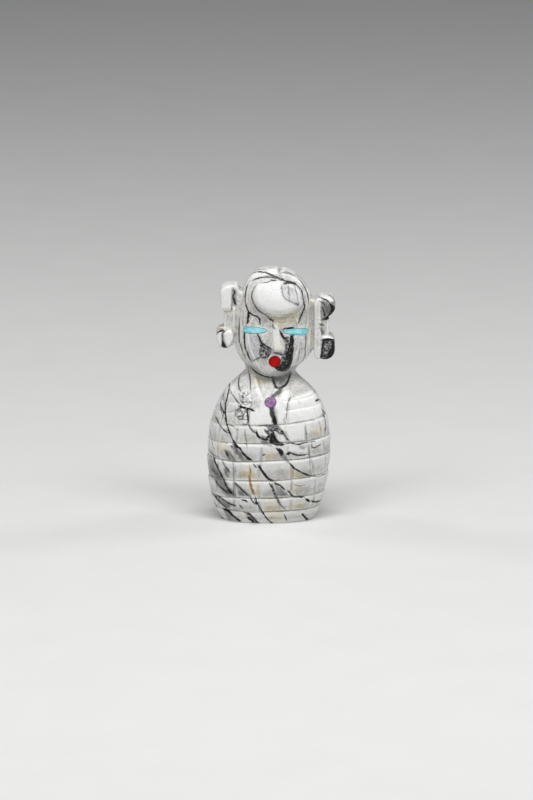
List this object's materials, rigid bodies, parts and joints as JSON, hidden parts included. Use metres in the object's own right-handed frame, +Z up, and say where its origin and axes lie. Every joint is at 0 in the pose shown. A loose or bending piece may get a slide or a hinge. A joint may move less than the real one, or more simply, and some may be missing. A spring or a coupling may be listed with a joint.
{
  "type": "carved stone figure",
  "caption": "Small standing maiden figure carved from veined stone, with a rounded body cut into rows of kernels, block-shaped hair whorls, and inlaid eyes, mouth and breast dot.",
  "frame": {"origin": "middle of the flat underside", "axes": "+Z up, the figure faces -Y, +X to the viewer's right"},
  "size_m": [0.0284, 0.0201, 0.057],
  "materials": {
    "veined_stone": "polished cream-white stone with black and grey veins and a few yellow-brown stains",
    "turquoise": "polished pale blue stone",
    "red_coral": "polished deep red",
    "purple_stone": "polished purple"
  },
  "bodies": {
    "root": {"stone_figure": "veined_stone", "left_eye_inlay": "turquoise", "right_eye_inlay": "turquoise", "mouth_inlay": "red_coral", "breast_inlay": "purple_stone"}
  },
  "joints": []
}
